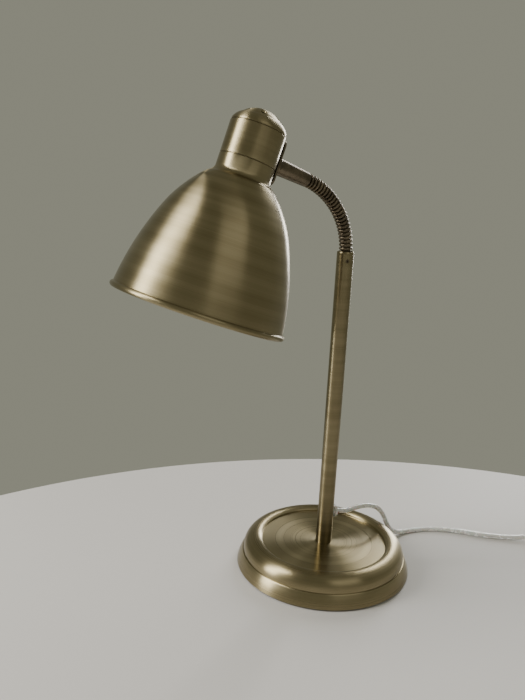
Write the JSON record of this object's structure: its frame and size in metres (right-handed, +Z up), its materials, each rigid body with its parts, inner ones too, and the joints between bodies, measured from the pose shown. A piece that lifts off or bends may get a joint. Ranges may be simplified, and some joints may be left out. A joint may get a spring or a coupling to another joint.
{
  "type": "gooseneck desk lamp",
  "caption": "Gooseneck desk lamp: spun metal bell shade on a short flexible hose, upright tube, weighted round foot, mains lead with in-line switch.",
  "frame": {"origin": "on the table under the middle of the upright tube", "axes": "+Z up along the upright tube; the hose bends in the XZ plane and carries the shade towards -X; the lead leaves towards +X"},
  "size_m": [0.6047, 0.2495, 0.4308],
  "materials": {
    "antique_brass": "brushed",
    "dark_bronze": "satin",
    "cast_iron": "matte",
    "zinc_steel": "satin",
    "felt": "matte",
    "clear_pvc": "gloss",
    "white_plastic": "satin",
    "opal_glass": "satin",
    "black_plastic": "satin",
    "nickel": "polished"
  },
  "bodies": {
    "stand": {"felt_pad": "felt", "base_plate": "zinc_steel", "base_plate_screws": "zinc_steel", "base_weight": "cast_iron", "base_shell": "antique_brass", "foot_stud": "zinc_steel", "foot_nut": "zinc_steel", "stem_tube": "antique_brass", "stem_grub_screw": "dark_bronze", "hose_root": "dark_bronze", "cord_gland": "clear_pvc", "stem_leads": "white_plastic", "cord_run": "clear_pvc", "switch_bottom": "white_plastic", "switch_top": "white_plastic", "switch_screws": "zinc_steel", "cord_ends": "clear_pvc", "cord_coil": "clear_pvc", "cord_tie": "white_plastic", "plug_body": "white_plastic", "plug_pins": "nickel"},
    "hose_link_01": {"gooseneck_ring_01": "dark_bronze", "gooseneck_ring_02": "dark_bronze"},
    "hose_link_02": {"gooseneck_ring_03": "dark_bronze", "gooseneck_ring_04": "dark_bronze"},
    "hose_link_03": {"gooseneck_ring_05": "dark_bronze", "gooseneck_ring_06": "dark_bronze"},
    "hose_link_04": {"gooseneck_ring_07": "dark_bronze", "gooseneck_ring_08": "dark_bronze"},
    "hose_link_05": {"gooseneck_ring_09": "dark_bronze", "gooseneck_ring_10": "dark_bronze"},
    "hose_link_06": {"gooseneck_ring_11": "dark_bronze", "gooseneck_ring_12": "dark_bronze"},
    "hose_link_07": {"gooseneck_ring_13": "dark_bronze", "gooseneck_ring_14": "dark_bronze"},
    "hose_link_08": {"gooseneck_ring_15": "dark_bronze", "gooseneck_ring_16": "dark_bronze"},
    "hose_link_09": {"gooseneck_ring_17": "dark_bronze", "gooseneck_ring_18": "dark_bronze"},
    "hose_link_10": {"gooseneck_ring_19": "dark_bronze", "gooseneck_ring_20": "dark_bronze"},
    "hose_link_11": {"gooseneck_ring_21": "dark_bronze", "gooseneck_ring_22": "dark_bronze", "gooseneck_ring_23": "dark_bronze"},
    "head": {"gooseneck_ferrule": "dark_bronze", "neck_bracket": "dark_bronze", "bracket_screws": "dark_bronze", "shade_bell": "antique_brass", "neck_sleeve": "antique_brass", "vent_cap": "antique_brass", "ferrule_nut": "zinc_steel", "holder_strap": "zinc_steel", "holder_screw": "zinc_steel", "holder_body": "black_plastic", "holder_shell": "nickel", "holder_contact": "nickel", "bulb_cap": "nickel", "bulb_globe": "opal_glass", "head_leads": "white_plastic"},
    "rocker": {"switch_rocker": "white_plastic"}
  },
  "joints": [
    {"name": "hose_bend_01", "type": "hinge", "parent": "stand", "child": "hose_link_01", "pos_m": [0, 0, 0.314], "axis": [0, -1, 0], "range_deg": [-10, 3.4]},
    {"name": "hose_sway_03", "type": "hinge", "parent": "hose_link_01", "child": "hose_link_02", "pos_m": [-0.00062, 0, 0.321], "axis": [0.9846, 0, 0.1746], "range_deg": [-3.4, 3.4]},
    {"name": "hose_bend_05", "type": "hinge", "parent": "hose_link_02", "child": "hose_link_03", "pos_m": [-0.00204, 0, 0.32789], "axis": [0, -1, 0], "range_deg": [-9.56, 3.25]},
    {"name": "hose_sway_07", "type": "hinge", "parent": "hose_link_03", "child": "hose_link_04", "pos_m": [-0.00424, 0, 0.33457], "axis": [0.9209, 0, 0.3898], "range_deg": [-3.4, 3.4]},
    {"name": "hose_bend_09", "type": "hinge", "parent": "hose_link_04", "child": "hose_link_05", "pos_m": [-0.00715, 0, 0.34097], "axis": [0, -1, 0], "range_deg": [-9.12, 3.1]},
    {"name": "hose_sway_11", "type": "hinge", "parent": "hose_link_05", "child": "hose_link_06", "pos_m": [-0.01074, 0, 0.34701], "axis": [0.8168, 0, 0.5769], "range_deg": [-3.4, 3.4]},
    {"name": "hose_bend_13", "type": "hinge", "parent": "hose_link_06", "child": "hose_link_07", "pos_m": [-0.01495, 0, 0.35265], "axis": [0, -1, 0], "range_deg": [-8.68, 2.95]},
    {"name": "hose_sway_15", "type": "hinge", "parent": "hose_link_07", "child": "hose_link_08", "pos_m": [-0.01971, 0, 0.35782], "axis": [0.6828, 0, 0.7306], "range_deg": [-3.4, 3.4]},
    {"name": "hose_bend_17", "type": "hinge", "parent": "hose_link_08", "child": "hose_link_09", "pos_m": [-0.02496, 0, 0.36249], "axis": [0, -1, 0], "range_deg": [-8.24, 2.8]},
    {"name": "hose_sway_19", "type": "hinge", "parent": "hose_link_09", "child": "hose_link_10", "pos_m": [-0.03065, 0, 0.36663], "axis": [0.5292, 0, 0.8485], "range_deg": [-3.4, 3.4]},
    {"name": "hose_bend_21", "type": "hinge", "parent": "hose_link_10", "child": "hose_link_11", "pos_m": [-0.0367, 0, 0.37021], "axis": [0, -1, 0], "range_deg": [-7.8, 2.65]},
    {"name": "hose_sway_24", "type": "hinge", "parent": "hose_link_11", "child": "head", "pos_m": [-0.04633, 0, 0.3745], "axis": [0.3239, 0, 0.9461], "range_deg": [-3.4, 3.4]},
    {"name": "switch_rocker_tip", "type": "hinge", "parent": "stand", "child": "rocker", "pos_m": [0.28189, -0.10811, 0.012], "axis": [-0.6247, -0.7809, 0], "range_deg": [0, 13]}
  ]
}
